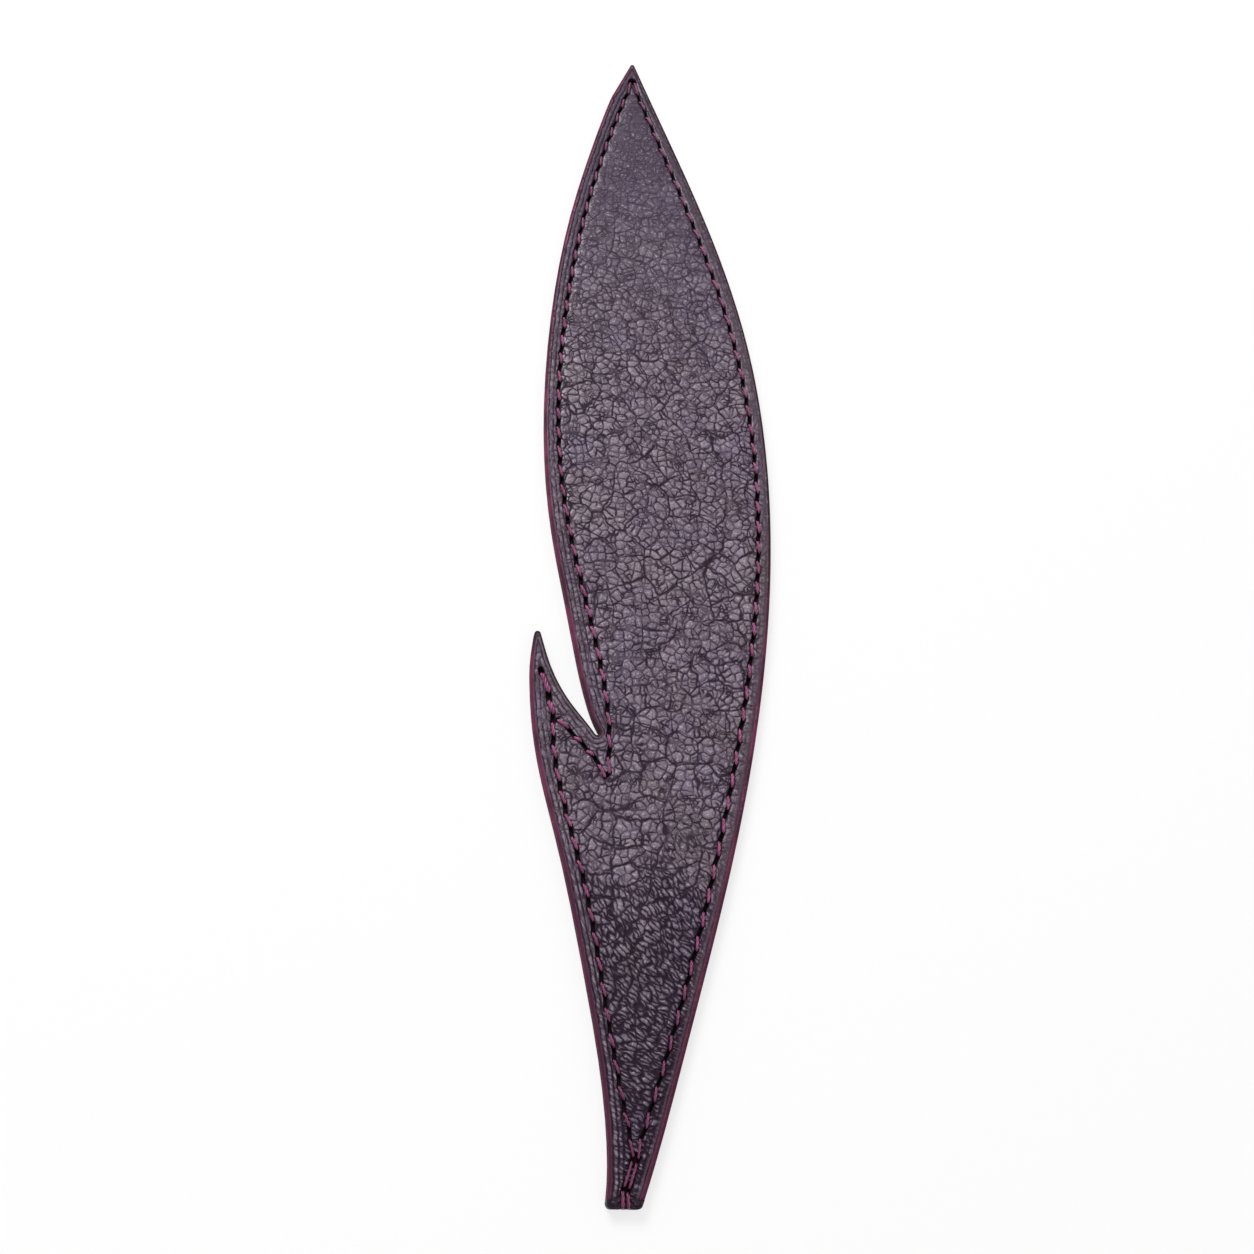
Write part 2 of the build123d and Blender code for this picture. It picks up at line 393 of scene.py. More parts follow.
def pairOfLegs(hole, way, shift):
    side = rightOf(way) * sewing["legGap"] / 2
    return [hole + way * shift + side, hole + way * shift - side]


# Flat outlines of the leather and its holes, read from the glue between the two leathers
def flatLoops(node):
    work = bmesh.new()
    work.from_mesh(node.data)
    bmesh.ops.remove_doubles(work, verts=work.verts, dist=tiny)
    top = max(v.co.z for v in work.verts)
    level = [face for face in work.faces if all(abs(v.co.z - top) < tiny for v in face.verts)]
    flat = set(level)
    after = {}
    for face in level:
        for corner in face.loops:
            if not any(other in flat and other is not face for other in corner.edge.link_faces):
                after[corner.vert] = corner.link_loop_next.vert
    loops = []
    while after:
        start, following = after.popitem()
        chain = [start]
        while following is not start:
            chain.append(following)
            following = after.pop(following)
        loops.append(np.array([v.co.xy for v in chain]) / mm)
    work.free()
    return sorted(loops, key=lambda loop: lineLength(closed(loop)), reverse=True)


leatherLoops = flatLoops(cadNodes["glue_film"])
slotLoops = leatherLoops[1:]
slotCentres = np.array([(loop.min(0) + loop.max(0)) / 2 for loop in slotLoops])
print("outlines read:", len(slotLoops), "stitch holes")


def onSlots(holes):  # moves each hole onto the nearest hole of the part
    apart = np.linalg.norm(holes[:, None] - slotCentres[None], axis=2)
    return slotCentres[apart.argmin(axis=1)]


halfGap = sewing["legGap"] / 2
shortTail = sewing["shortTail"]
tipHole = onFrame(sewing["tipHole"])
mergeHole = onFrame(sewing["mergeHole"])
quillHole = onFrame(sewing["quillHole"])
notchHole = onFrame(sewing["notchHole"])
notchStart = onFrame(sewing["notchStart"])
barbStart = onFrame(sewing["barbHoles"][0])
quillWay = wayTo(mergeHole, quillHole)
mergeAbove = pairOfLegs(mergeHole, quillWay, -halfGap)
mergeBelow = pairOfLegs(mergeHole, quillWay, halfGap)
quillAbove = pairOfLegs(quillHole, quillWay, -halfGap)
quillBelow = pairOfLegs(quillHole, quillWay, halfGap)
wrapAcross = np.array([sewing["wrapSpread"] / 2, 0])
wrapEnd = np.array([quillHole[0], onFrame((0, 0))[1] + sewing["threadRadius"] + sewing["clearance"]])
wrapEnd = wrapEnd - np.array([0, sewing["wrapOut"]])
wrapEnds = [wrapEnd - wrapAcross, wrapEnd + wrapAcross]
wrapTurns = [end + np.array([0, sewing["wrapReach"]]) for end in wrapEnds]
acrossTip = np.array([halfGap, 0])
acrossNotch = np.array([halfGap, halfGap])

rightHoles = seamHoles("tipHole", "rightSeam", "mergeHole", "pitch")
leftHoles = seamHoles("tipHole", "leftSeam", "notchHole", "pitch")
notchHoles = seamHoles("notchStart", "notchSeam", "notchHole", "notchPitch")
barbHoles = seamHoles("branchHole", "barbSeam", "mergeHole", "pitch")
barbHoles = np.concatenate([[onFrame(p) for p in sewing["barbHoles"]], barbHoles])
for holes in (rightHoles, leftHoles, notchHoles, barbHoles):
    holes[1:-1] = onSlots(holes[1:-1])
stitchRows = {
    "thread_right_edge": StitchRow(rightHoles, tipHole + acrossTip, mergeAbove[1], sewing["longTail"]),
    "thread_left_edge": StitchRow(leftHoles, tipHole - acrossTip, notchHole + acrossNotch, shortTail),
    "thread_notch": StitchRow(notchHoles, notchStart, notchHole - acrossNotch, shortTail),
    "thread_barb_edge": StitchRow(barbHoles, barbStart, mergeAbove[0], shortTail),
}
routes = {name: row.route() for name, row in stitchRows.items()}
routes["thread_quill_stitch"] = [
    atHeight(mergeBelow[0], False),
    atHeight(mergeBelow[0], True),
    atHeight(quillAbove[0], True),
    atHeight(quillAbove[0], False),
    atHeight(quillAbove[1], False),
    atHeight(quillAbove[1], True),
    atHeight(mergeBelow[1], True),
    atHeight(mergeBelow[1], False),
]
routes["thread_end_wrap"] = [
    atHeight(quillBelow[0], False),
    atHeight(quillBelow[0], True),
    atHeight(wrapEnds[0], True),
    atHeight(wrapEnds[0], False),
    atHeight(wrapTurns[0], False),
    atHeight(wrapTurns[1], False),
    atHeight(wrapEnds[1], False),
    atHeight(wrapEnds[1], True),
    atHeight(quillBelow[1], True),
    atHeight(quillBelow[1], False),
]
stitches = {
    "front_panel": [stitch for row in stitchRows.values() for stitch in row.stitches(True)],
    "back_panel": [stitch for row in stitchRows.values() for stitch in row.stitches(False)],
}
stitches["front_panel"] += list(zip(mergeBelow, quillAbove)) + list(zip(quillBelow, wrapEnds))
stitches["back_panel"] += [quillAbove, [wrapEnds[0], wrapTurns[0], wrapTurns[1], wrapEnds[1]]]
rowSlots = [slot for row in stitchRows.values() for slot in row.slots()]
tipShift = np.array([0, sewing["tipSlotShift"]])
tipSlotEnds = [tipHole - acrossTip / 2 + tipShift, tipHole + acrossTip / 2 + tipShift]
rowSlots.append(slotLoop(*tipSlotEnds, sewing["tipSlotWidth"]))
barbSlotStart = barbStart - wayTo(barbStart, barbHoles[1]) * sewing["barbSlotReach"]
rowSlots.append(slotLoop(barbSlotStart, barbStart, sewing["doubleSlotWidth"]))
rowCentres = np.array([slot.mean(axis=0) for slot in rowSlots])
endSlots = []  # the part's own holes where no longer slot is cut
for loop, at in zip(slotLoops, slotCentres):
    if np.linalg.norm(rowCentres - at, axis=1).min() > sewing["slotReach"]:
        endSlots.append(loop)
slots = {"front_panel": rowSlots + endSlots, "back_panel": slotLoops}
print("end holes kept:", len(endSlots))
print("sewing laid out:", len(stitches["front_panel"]), "stitches on the front")

# Waxed thread: three plies twisted together along each row's whole route
waxedThread = {
    "plyRadius": 0.12,
    "plyOffset": 0.13,
    "plies": 3,
    "twistLength": 2.4,
    "spacing": 0.16,
    "softening": 7,
    "sides": 6,
    "colour": (0.46, 0.112, 0.275, 1),
    "dull": (0.115, 0.013, 0.056, 1),
    "holeShade": (0.012, 0.003, 0.007, 1),
    "holeFoot": (0.45, 0.75),  # heights between which a leg is painted with shade in its hole
    "holeTop": (1.8, 2.1),
    "openEnd": (-97.8, -97.3),  # the end wrap's legs lie in the open, so they get no painted shade
    "fibre": 0.09,
    "fibreDepth": 0.03,
    "fibreLay": (0.35, 0.8, 0.12),  # stretch along the ply, turn around it and slant
    "fibreShare": 0.55,
    "patch": 1.3,
    "patchShare": 0.45,
    "bright": (0.3, 0.7),
    # painted shade, darker towards the quill and the tip
    "shadedFoot": (-98.0, -45.0, 0.3, 1.0),
    "shadedTip": (40.0, 95.0, 1.0, 0.6),
    "roughness": (0.2, 0.8, 0.35, 0.5),
}


def threadTree(thread):
    inputs = dict.fromkeys(["Ply radius", "Ply offset", "Twist length", "Spacing"], "Float")
    inputs.update({"Softening": "Int", "Sides": "Int", "Finish": "Material"})
    tree, given = geometryTree("twistedThread", inputs)
    route = given["Geometry"].make("GeometryNodeMeshToCurve", None, {"Mesh": given["Geometry"]})
    sockets = {"Curve": route, "Length": given["Spacing"]}
    route = route.make("GeometryNodeResampleCurve", {"mode": "LENGTH"}, sockets)
    position = route.make("GeometryNodeInputPosition")
    sockets = {"Value": position, "Iterations": given["Softening"]}
    softened = route.make("GeometryNodeBlurAttribute", {"data_type": "FLOAT_VECTOR"}, sockets)
    route = route.make("GeometryNodeSetPosition", None, {"Geometry": route, "Position": softened})
    girth = keptValue(route, "girth")
    offset = given["Ply offset"] * girth
    along = route.make("GeometryNodeSplineParameter", None, None, "Length")
    route = keepValue(route, "along", along / mm)
    sockets = {"Resolution": given["Sides"], "Radius": given["Ply radius"]}
    section = route.make("GeometryNodeCurvePrimitiveCircle", None, sockets)
    around = route.make("GeometryNodeSplineParameter", None, None, "Factor")
    section = keepValue(section, "around", around)
    normal = route.make("GeometryNodeInputNormal")
    tangent = route.make("GeometryNodeInputTangent")
    side = route.vector("CROSS_PRODUCT", tangent, normal)
    turn = along / given["Twist length"] * math.tau
    plies = []
    for ply in range(thread["plies"]):
        angle = turn + math.tau * ply / thread["plies"]
        out = route.vector("SCALE", normal, Scale=angle.cosine() * offset)
        across = route.vector("SCALE", side, Scale=angle.sine() * offset)
        moved = {"Geometry": route, "Offset": route.vector("ADD", out, across)}
        strand = route.make("GeometryNodeSetPosition", None, moved)
        sockets = {"Curve": strand, "Profile Curve": section, "Scale": girth, "Fill Caps": True}
        plies.append(route.make("GeometryNodeCurveToMesh", None, sockets))
    endTree(route.make("GeometryNodeJoinGeometry", None, {"Geometry": plies}), given["Finish"])
    return tree


def threadMaterial(thread):
    material, start = newMaterial("waxedThread")
    place = objectPlace(start)
    along = attribute(start, "along")
    around = attribute(start, "around")
    stretch, turn, slant = thread["fibreLay"]
    lay = start.joined(X=along * stretch, Y=around * turn + along * slant)
    fibres = lay.noise(thread["fibre"])
    patches = place.noise(thread["patch"], 1.0)
    lengthwise, height = place.parts()[1:]
    # painted shade on the legs deep in their holes
    shadedInHole = height.fall(*thread["holeTop"]) * height.ramp(*thread["holeFoot"])
    shadedInHole = shadedInHole * lengthwise.ramp(*thread["openEnd"])
    # bright fibres and patches: partly the thread's own tone, partly a painted highlight
    share = fibres.ramp(*thread["bright"]) * thread["fibreShare"]
    share = share + patches.ramp(*thread["bright"]) * thread["patchShare"]
    # painted shade towards both ends of the bookmark
    share = share * lengthwise.ramp(*thread["shadedFoot"]) * lengthwise.ramp(*thread["shadedTip"])
    colour = shadedInHole.blend(share.blend(thread["dull"], thread["colour"]), thread["holeShade"])
    surface = {"Base Color": colour, "Roughness": patches.ramp(*thread["roughness"])}
    finishMaterial(start, surface, fibres.bump(thread["fibreDepth"] * mm), {})
    return material


def threadPiece(name, route, tree, finish):
    line = bpy.data.meshes.new(name + "_route")
    line.from_pydata([Vector(p) * mm for p in route], [(i, i + 1) for i in range(len(route) - 1)], [])
    onFront = np.array([p[2] for p in route]) == sewing["frontHeight"]
    girth = np.where(isDoubled(route) & onFront, sewing["doubleGirth"], taper(route))
    if name == "thread_end_wrap":
        girth[:] = sewing["wrapGirth"]
    keepOnMesh(line, "girth", girth)
    piece = newPiece("sewn_" + name, line)
    values = {
        "Ply radius": waxedThread["plyRadius"] * mm,
        "Ply offset": waxedThread["plyOffset"] * mm,
        "Twist length": waxedThread["twistLength"] * mm,
        "Spacing": waxedThread["spacing"] * mm,
        "Softening": waxedThread["softening"],
        "Sides": waxedThread["sides"],
        "Finish": finish,
    }
    runTree(piece, tree, values)
    print(piece.name, len(piece.data.polygons), "faces")
    return piece


threadFinish = threadMaterial(waxedThread)
threadNodes = threadTree(waxedThread)
threadPieces = []
for name, route in routes.items():
    threadPieces.append((threadPiece(name, route, threadNodes, threadFinish), name))

# Burgundy paint, on the edge's own solid and lapping onto the leathers
paintedEdge = {
    "colour": (0.146, 0.031, 0.071, 1),
    "worn": (0.066, 0.016, 0.036, 1),
    "shaded": (0.030, 0.016, 0.021, 1),
    "patch": 5.0,
    "fresh": (0.35, 0.65),
    "wornAndShadedFoot": (-90.0, -20.0, 0.3, 1.0),
    "wave": 0.9,
    "waveDepth": 0.03,
    "roughness": (0.3, 0.7, 0.6, 0.75),
    "plain": {"Specular IOR Level": 0.05},
    # where the painted shade falls: high on the right edge, in the notch and at its foot
    "darkSide": (-6.0, 0.0),
    "darkFrom": (-20.0, 15.0),
    "notchFrom": -20.0,  # two lines go down from here, each with a start and a slant
    "barbMiddle": (-18.1, 0.36),
    "barbBlur": (-0.5, 0.5),
    "notchMiddle": (-14.7, 0.52),
    "notchBlur": (-0.3, 0.3),
    "notchEnd": (-44.0, -42.0),
    "footWidth": (1.5, 2.5),
    "footTop": (-32.5, -26.5, 0.9, 0.0),
    "footEnd": (-38.0, -36.0),
    "thickness": 0.3,
    "lap": 0.2,
    "wideLap": 0.4,
    "thinLap": 0.03,
    "thinFrom": -40.0,
    "thinRise": 60.0,
    "thinNotch": (-5.0, -36.0),  # left of this and above it, the lap is thin
    "lapWave": 0.16,
    "lapWaveSize": 0.8,
    "lapFacing": 0.3,
    "lapReach": 3,
}


def paintColour(place):  # painted shade high on the right edge, on the barb's side of the notch and at the notch's foot
    paint = paintedEdge
    across, along = place.parts()[:2]
    # worn patches of paint, and more of them towards the quill as painted shade
    fresh = place.noise(paint["patch"], 3.0).ramp(*paint["fresh"]) * along.ramp(*paint["wornAndShadedFoot"])
    colour = fresh.blend(paint["worn"], paint["colour"])
    down = paint["notchFrom"] - along
    fromBarb = across - paint["barbMiddle"][0] - down * paint["barbMiddle"][1]
    fromNotch = across - paint["notchMiddle"][0] - down * paint["notchMiddle"][1]
    inNotch = fromBarb.ramp(*paint["barbBlur"]) * fromNotch.fall(*paint["notchBlur"])
    inNotch = inNotch * along.ramp(*paint["notchEnd"])
    foot = fromNotch.absolute().fall(*paint["footWidth"])
    foot = foot * along.ramp(*paint["footTop"]) * along.ramp(*paint["footEnd"])
    highRight = across.ramp(*paint["darkSide"]) * along.ramp(*paint["darkFrom"])
    return highRight.most(inNotch).most(foot).blend(colour, paint["shaded"])


def paintMaterial():
    material, start = newMaterial("burgundyEdgePaint")
    place = objectPlace(start)
    waves = place.noise(paintedEdge["wave"])
    surface = {"Base Color": paintColour(place), "Roughness": waves.ramp(*paintedEdge["roughness"])}
    finishMaterial(start, surface, waves.bump(paintedEdge["waveDepth"] * mm), paintedEdge["plain"])
    return material


# Grained leather. The same field raises the mesh and shades it, so the creases lie where the relief is.
grain = {
    "pebble": 1.35,
    "smallPebble": 0.85,
    "whole": (2.5, 0.35, 0.6, 0.0, 0.3),  # where the pebbles aren't split: size of the areas, then the ramp
    "wander": (2.2, 1.2),  # size and reach
    "ripple": (0.6, 0.45),
    "patch": 9.0,
    "tint": 12.0,
    "wobble": 1.6,
    "fold": 4.2,
    "foldWander": (5.0, 4.5),
    "foldWidth": (0.05, 0.3),
    "foldPatch": (0.3, 0.5),
    "wrinkle": 0.5,
    "wrinkleWidth": (0.0, 0.1),
    "streakLength": 1.7,  # low down, the pebbles are drawn out into streaks
    "streakWidth": 0.62,
    "streakTurn": (math.radians(22), math.radians(54)),  # at the quill and below the barb
    "streakTurnAlong": (-92.0, -48.0),
    "streakPivot": -68.0,
    "streakAlong": (-58.0, -44.0),
    "streakPatch": 28.0,
    "streakGap": 0.95,
    "streakFade": (0.1, 0.6),
    "pebbleFade": (0.4, 0.9),
    "fadeGap": 0.6,  # closes the creases of the pattern that isn't there
    "sunken": (1.2, 0.45, 0.65, 0.0, 0.1),
    "creaseWidth": (3.0, 0.3, 0.7, 0.10, 0.26),
    "creaseFirm": (1.7, 0.35, 0.6, 0.4, 0.9),
    "creaseFloor": 0.25,
    "streakCrease": 0.06,
    "streakFirm": 0.97,
    "pebbleRise": (-0.15, 0.6),
    "glint": (0.4, 0.52, 0.66),
    "glintRise": (0.1, 0.4),
    "calm": (20.0, 85.0, 1.0, 0.4),
}
leatherPanels = {
    "front": {
        "node": "front_panel",
        "slot": "front_leather",
        "outer": 2.1,
        "inner": 1.1,
        "spacing": 0.27,
        "seed": 0.0,
    },
    "back": {
        "node": "back_panel",
        "slot": "back_leather",
        "outer": 0.0,
        "inner": 1.0,
        "spacing": 0.36,
        "seed": 57.0,
    },
}
leatherRelief = {
    "pebble": 0.08,
    "fold": 0.06,
    "sunk": 0.07,
    "strip": (1.6, 3.0, 0.6, 1.0),  # between the edge and the seam the grain is pressed smoother
    "rim": (0.4, 0.9),
    "rimRise": (0.3, 0.6),
    "pocket": (0.12, 0.55, 0.22, 0.0),
    "seamDip": (0.0, 1.5, 0.07, 0.0),
    "linesAt": (0.66, 1.4, 2.1),
    "lineWidth": 0.22,
    "lineFloor": 0.03,
    "lineWobble": 0.5,
    "lineFirm": (0.3, 0.6, 0.5, 1.0),
    "lineAlong": (-70.0, -45.0, 1.5, 1.0),
    "lineAcross": (-4.0, 2.0, 1.0, 0.45),
    "lineDepth": 0.06,
    "ridgesAt": (1.03, 1.75),
    "ridgeWidth": 0.26,
    "creasesAt": (-90.8, -92.3),
    "creaseWidth": (0.05, 0.2),
    "creaseWobble": 0.6,
    "creaseReach": (2.0, 2.6),
    "creaseSide": (-4.2, -3.4),
    "endRadius": 0.25,
    "paintStop": 1.2,
    "slotSpacing": 0.13,
}
leatherLook = {
    "pebble": (0.200, 0.146, 0.200, 1),
    "dull": (0.152, 0.108, 0.153, 1),
    "patch": (0.35, 0.65),
    "pale": (0.280, 0.218, 0.280, 1),
    "paleShare": (0.3, 1.0, 0.0, 0.5),
    "crownHighlight": (0.5, 0.85),
    "crownHighlightShare": 0.4,
    "cool": (0.168, 0.118, 0.198, 1),
    "coolShare": (0.35, 0.5, 0.5, 0.0),
    "warm": (0.184, 0.142, 0.162, 1),
    "warmShare": (0.5, 0.65, 0.0, 0.5),
    # painted shade towards the quill and the tip
    "endShade": (0.058, 0.032, 0.076, 1),
    "endShadeFoot": (-98.0, -40.0, 0.7, 0.0),
    "endShadeTip": (20.0, 90.0, 0.0, 0.9),
    "glint": (0.42, 0.36, 0.43, 1),
    "glintShare": 0.7,
    # painted shade in the creases and hollows
    "creaseShade": (0.014, 0.006, 0.015, 1),
    "hollowShare": (0.0, 0.7, 0.4, 0.0),
    "foldShare": 0.9,
    "wrinkleShare": (0.35, 0.7, 0.5, 0.1),
    "lineShare": 0.9,
    "holeRimShade": (0.02, 0.22),
    "lowDown": (-80.0, -58.0),
    "onRight": (-6.0, 0.0, 0.3, 1.0),
    "band": (0.070, 0.026, 0.044, 1),  # pressed smooth beside the widest paint
    "bandLap": (0.52, 0.66),
    "bandWidth": (0.95, 1.25),
    "bandShare": 0.85,
    "bandCalm": 0.8,
    "smear": (0.064, 0.030, 0.046, 1),  # a film of paint rubbed onto the strip
    "smearRamp": ((0.3, 0.4), (2.9, -1.3), (0.65, 0.3)),  # start, end, share: each and its change low down
    "smearCalm": 0.6,
    "shade": (0.036, 0.018, 0.034, 1),
    "shadeWidth": (2.0, 3.2),
    "shadeShare": 0.65,
    "pebbledFrom": (1.0, 1.5),  # the right strip keeps some of its grain
    "pebbledAlong": (0.0, 30.0, 0.3, 0.0),
    "pebbledShade": 0.4,
    "groove": (1.0, 0.45, 0.65),
    "grooveStretch": (4.0, 0.35),
    "grooveWidth": (1.6, 2.6),
    "grooveShadeShare": 0.4,
    "ridgeLeft": 1.25,
    "ridgeAlong": (-50.0, -30.0, 0.75, 0.15),
    "cutEnd": (-97.5, -96.5),
    "cutEndShare": 0.8,
    "paintEnd": (-0.05, 0.06),
    "pebbleBump": 0.2,
    "lineBump": 0.05,
    "foldBump": 0.05,
    "wrinkleBump": 0.01,
    "grooveBump": 0.02,
    "poreBump": 0.02,
    "pore": 0.2,
    "roughness": (0.0, 1.0, 0.5, 0.8),
    "gloss": (0.0, 0.6, 0.8, 0.0),
    "paintMatt": 0.6,
    "shadeMatt": 0.8,
    "stripMatt": 0.8,
    "plain": {"Specular IOR Level": 0.15, "Coat Roughness": 0.33, "Coat IOR": 1.5},
}


def grainField(place, seed):
    across, along = place.parts()[:2]
    flat = place.joined(X=across + seed, Y=along)
    bent = flat.pushed(*grain["wander"]).pushed(*grain["ripple"])
    patch = flat.noise(grain["patch"])
    lower = (along + (patch - 0.5) * grain["streakPatch"]).fall(*grain["streakAlong"])
    x, y = bent.parts()[:2]
    y = y - grain["streakPivot"]
    turn = along.ramp(*grain["streakTurnAlong"], *grain["streakTurn"])
    level = turn.cosine()
    steep = turn.sine()
    lengthwise = (x * level - y * steep) / grain["streakLength"]
    crosswise = (x * steep + y * level) / grain["streakWidth"]
    streaks = place.joined(X=lengthwise, Y=crosswise)
    split = bent.cells(grain["smallPebble"]) + flat.mottle(*grain["whole"])
    upperGap = bent.cells(grain["pebble"]).least(split)
    upperGap = upperGap + lower.ramp(*grain["pebbleFade"]) * grain["fadeGap"]
    lowerGap = streaks.cells(1.0) * grain["streakGap"] - flat.mottle(*grain["sunken"])
    lowerGap = lowerGap + lower.ramp(*grain["streakFade"], grain["fadeGap"], 0.0)
    gap = upperGap.least(lowerGap)
    width = flat.mottle(*grain["creaseWidth"]) + lower * grain["streakCrease"]
    firm = flat.mottle(*grain["creaseFirm"], detail=2.0).most(lower * grain["streakFirm"])
    folds = flat.pushed(*grain["foldWander"]).cells(grain["fold"]).fall(*grain["foldWidth"])
    calm = along.ramp(*grain["calm"])
    return {
        "pebble": gap.ramp(*grain["pebbleRise"]) * calm,
        "line": gap.fall(width * (1 - lower) * grain["creaseFloor"], width) * calm * firm,
        "glint": flat.mottle(*grain["glint"]) * gap.ramp(*grain["glintRise"]),
        "fold": folds * patch.ramp(*grain["foldPatch"]) * calm,
        "wrinkle": bent.cells(grain["wrinkle"]).fall(*grain["wrinkleWidth"]),
        "bent": bent,
        "patch": patch,
        "wobble": flat.noise(grain["wobble"]),
        "tint": flat.noise(grain["tint"]),
        "lower": lower,
        "across": across,
        "along": along,
    }


def grainGate(edge):
    return edge.ramp(*leatherRelief["strip"]) * edge.ramp(*leatherRelief["rim"])


def edgeLines(edge, field, places, halfWidth):  # lines along the edge, clearest on the barb's side
    relief = leatherRelief
    bent = edge - (field["wobble"] - 0.5) * relief["lineWobble"]
    lines = 0.0
    for at in places:
        lines = (bent - at).absolute().fall(relief["lineFloor"], halfWidth) + lines
    firm = field["wobble"].ramp(*relief["lineFirm"]) * field["along"].ramp(*relief["lineAlong"])
    return (lines * field["across"].ramp(*relief["lineAcross"]) * firm).least(1.0)


def quillCreases(edge, field):  # short creases across the quill's left strip
    relief = leatherRelief
    creases = 0.0
    for at in relief["creasesAt"]:
        away = field["along"] + (field["wobble"] - 0.5) * relief["creaseWobble"] - at
        creases = away.absolute().fall(*relief["creaseWidth"]) + creases
    return creases * edge.fall(*relief["creaseReach"]) * field["across"].fall(*relief["creaseSide"])


def pressedLines(edge, field):
    lines = edgeLines(edge, field, leatherRelief["linesAt"], leatherRelief["lineWidth"])
    return lines.most(quillCreases(edge, field))


def panelTree():
    relief = leatherRelief
    tree, given = geometryTree("leatherRelief", {"Side": "Float", "Seed": "Float", "Finish": "Material"})
    start = given["Geometry"]
    field = grainField(inMillimetres(start.make("GeometryNodeInputPosition")), given["Seed"])
    edge = keptValue(start, "edgeDistance")
    height = field["pebble"] * relief["pebble"] - field["fold"] * relief["fold"]
    height = height * grainGate(edge) - relief["sunk"]
    height = height - keptValue(start, "threadDistance").ramp(*relief["pocket"])
    height = height - keptValue(start, "seamDistance").ramp(*relief["seamDip"])
    height = height - pressedLines(edge, field) * relief["lineDepth"]
    height = height * edge.ramp(*relief["rimRise"]) - keptValue(start, "endDrop")
    lift = start.joined(Z=height * given["Side"] * keptValue(start, "outerFace") * mm)
    whole = start.make("GeometryNodeSetPosition", None, {"Geometry": start, "Offset": lift})
    endTree(whole, given["Finish"])
    return tree


def edgeZones(start, place, field):  # shares of the leather's face, most by distance from its edge
    look = leatherLook
    edge = attribute(start, "edgeDistance")
    lap = attribute(start, "paintLap")
    low = field["along"].fall(*look["lowDown"])
    onRight = field["across"].ramp(*look["onRight"])
    band = lap.ramp(*look["bandLap"]) * edge.fall(*look["bandWidth"])
    wavyLap = lap + (place.noise(paintedEdge["lapWaveSize"]) - 0.5) * paintedEdge["lapWave"]
    smearRamp = [low * change + value for value, change in look["smearRamp"]]
    smear = edge.ramp(*smearRamp, 0.0) * onRight
    shade = edge.fall(*look["shadeWidth"]) * onRight * low
    pebbled = onRight * edge.ramp(*look["pebbledFrom"]) * field["along"].ramp(*look["pebbledAlong"])
    pebbled = pebbled.most(shade * look["pebbledShade"])
    gate = (grainGate(edge) + pebbled).least(1.0)
    gate = gate * (1 - band * look["bandCalm"]) * (1 - smear * look["smearCalm"])
    # fine grooves drawn along the strip, darkened as painted shade
    stretchAcross, stretchAlong = look["grooveStretch"]
    drawn = start.joined(X=edge * stretchAcross, Y=field["along"] * stretchAlong)
    shadedGrooves = drawn.mottle(*look["groove"], detail=2.0) * edge.fall(*look["grooveWidth"]) * (1 - band)
    # painted highlight on the rounded ridges of the strip, strongest on the left
    ridgeHighlight = edgeLines(edge, field, leatherRelief["ridgesAt"], leatherRelief["ridgeWidth"])
    return {
        "painted": (edge - wavyLap).fall(*look["paintEnd"]),
        "band": band,
        "smear": smear,
        "shade": shade,
        "gate": gate,
        "pressed": pressedLines(edge, field),
        "ridgeHighlight": ridgeHighlight * (look["ridgeLeft"] - onRight) * field["along"].ramp(*look["ridgeAlong"]),
        "shadedGrooves": shadedGrooves,
        "cutEnd": field["along"].fall(*look["cutEnd"]),
        # painted shade round the slots
        "holes": attribute(start, "holeDistance").fall(*look["holeRimShade"]),
    }


def leatherColour(place, field, zones, dark):
    look = leatherLook
    gate = zones["gate"]
    tone = field["bent"].cellTone(grain["pebble"]) * (1 - field["lower"]) * gate
    # painted highlight on the crowns of the low streaks
    crownHighlight = field["pebble"].ramp(*look["crownHighlight"]) * field["lower"] * gate
    # painted shade towards both ends
    ends = field["along"].ramp(*look["endShadeFoot"]) + field["along"].ramp(*look["endShadeTip"])
    layers = (  # the lowest first
        (field["tint"].ramp(*look["coolShare"]), look["cool"]),
        (field["tint"].ramp(*look["warmShare"]), look["warm"]),
        (tone.ramp(*look["paleShare"]), look["pale"]),
        (ends, look["endShade"]),
        (zones["band"] * look["bandShare"], look["band"]),
        (zones["smear"], look["smear"]),
        (zones["shade"] * look["shadeShare"], look["shade"]),
        (zones["ridgeHighlight"], look["pale"]),
        (crownHighlight * look["crownHighlightShare"], look["pale"]),
        # painted shade on the rounded cut end
        (zones["cutEnd"] * look["cutEndShare"], look["creaseShade"]),
        (field["glint"] * gate * look["glintShare"], look["glint"]),
        # painted shade in the hollows between pebbles, and in the creases
        (field["pebble"].ramp(*look["hollowShare"]), look["creaseShade"]),
        (dark, look["creaseShade"]),
        (zones["painted"], paintColour(place)),
    )
    colour = field["patch"].ramp(*look["patch"]).blend(look["dull"], look["pebble"])
    for share, layer in layers:
        colour = share.blend(colour, layer)
    return colour


